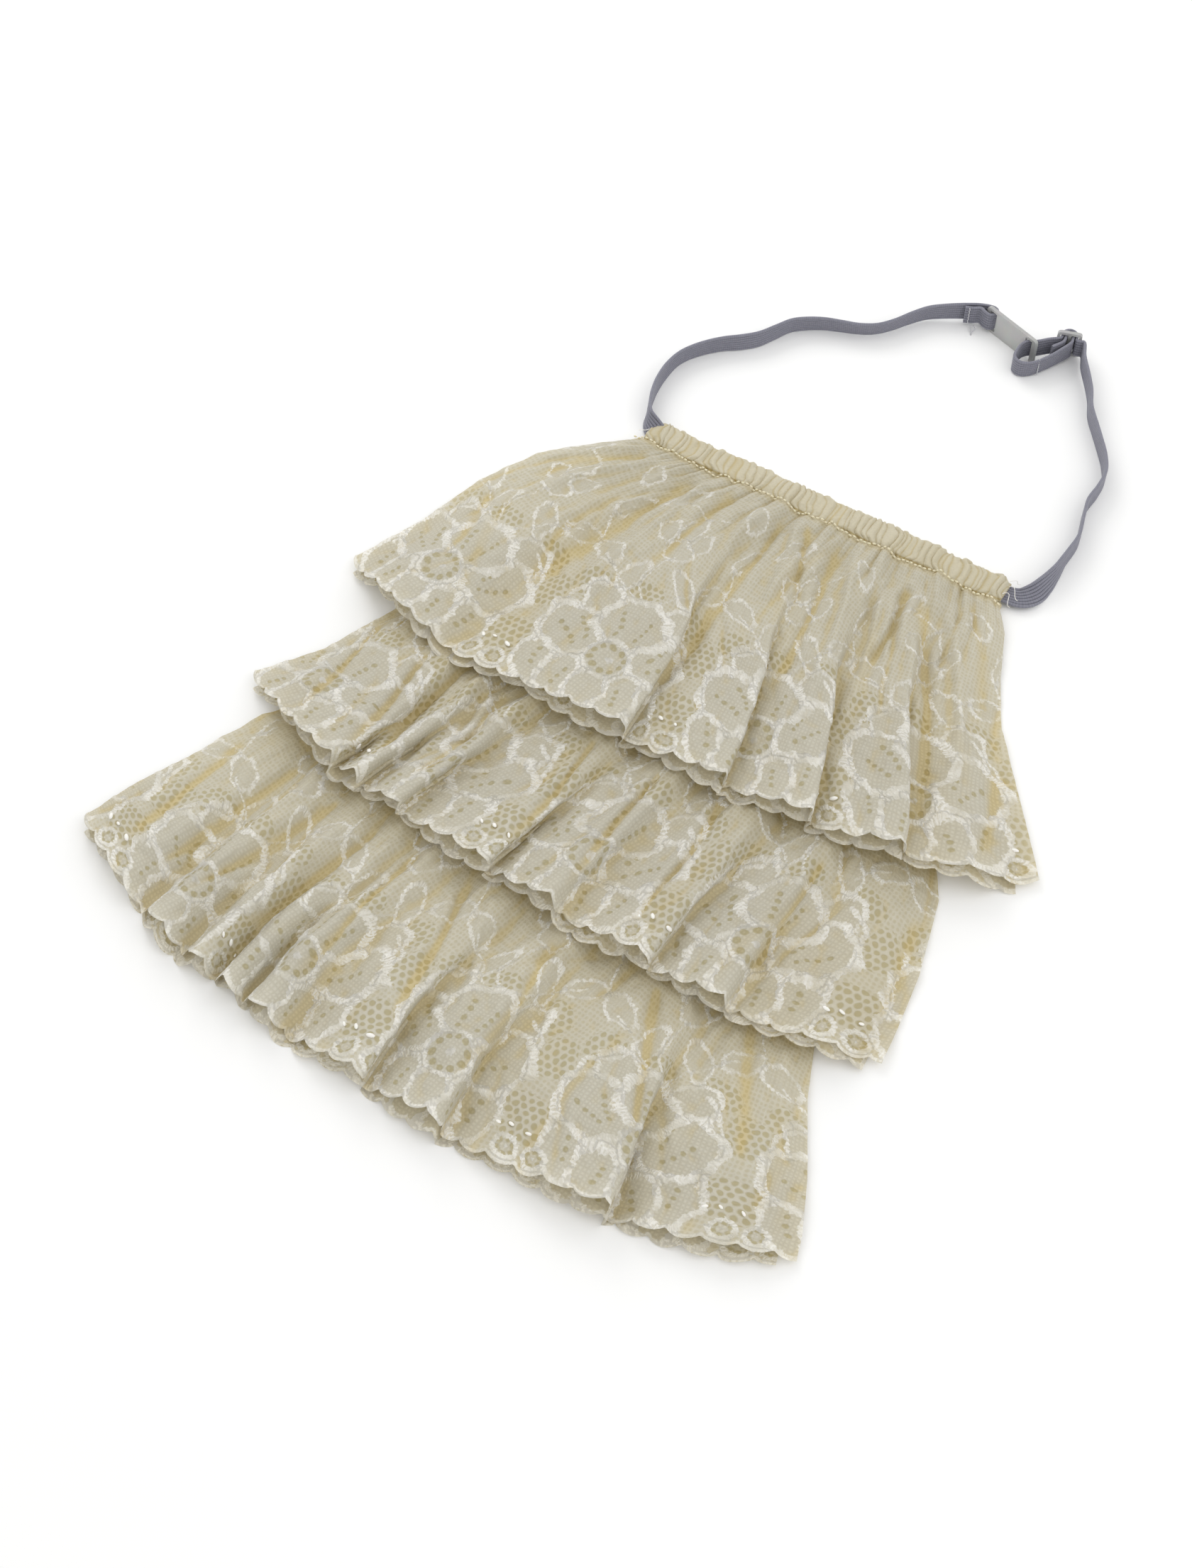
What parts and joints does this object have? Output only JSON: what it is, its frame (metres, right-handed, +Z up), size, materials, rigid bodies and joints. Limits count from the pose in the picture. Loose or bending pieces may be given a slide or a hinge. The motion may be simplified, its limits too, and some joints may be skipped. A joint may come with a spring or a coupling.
{
  "type": "lace jabot",
  "caption": "Lace jabot laid flat: ruched neckband, overlapping gathered lace frills on a back panel, and an elastic neck strap with hook and slider.",
  "frame": {"origin": "on the resting surface, under the neckband, midway along its length and 3 mm nearer the strap than its centre line; it lies on the neckband's flat underside", "axes": "+X along the neckband towards the slider end of the strap, +Y from the frills towards the strap, +Z up off the surface"},
  "size_m": [0.2763, 0.4156, 0.0205],
  "materials": {
    "band_cloth": "ruched ivory stretch lace",
    "back_cloth": "plain ivory voile",
    "lace": "ivory floral galloon lace, satin outlines on matt net",
    "elastic": "ribbed woven elastic, grey lilac",
    "clear_plastic": "translucent frosted plastic"
  },
  "bodies": {
    "root": {"neck_casing": "band_cloth", "back_panel": "back_cloth", "tier_top": "lace", "tier_middle": "lace", "tier_bottom": "lace", "elastic_left": "elastic", "elastic_right": "elastic", "hook": "clear_plastic", "slider": "clear_plastic"}
  },
  "joints": []
}
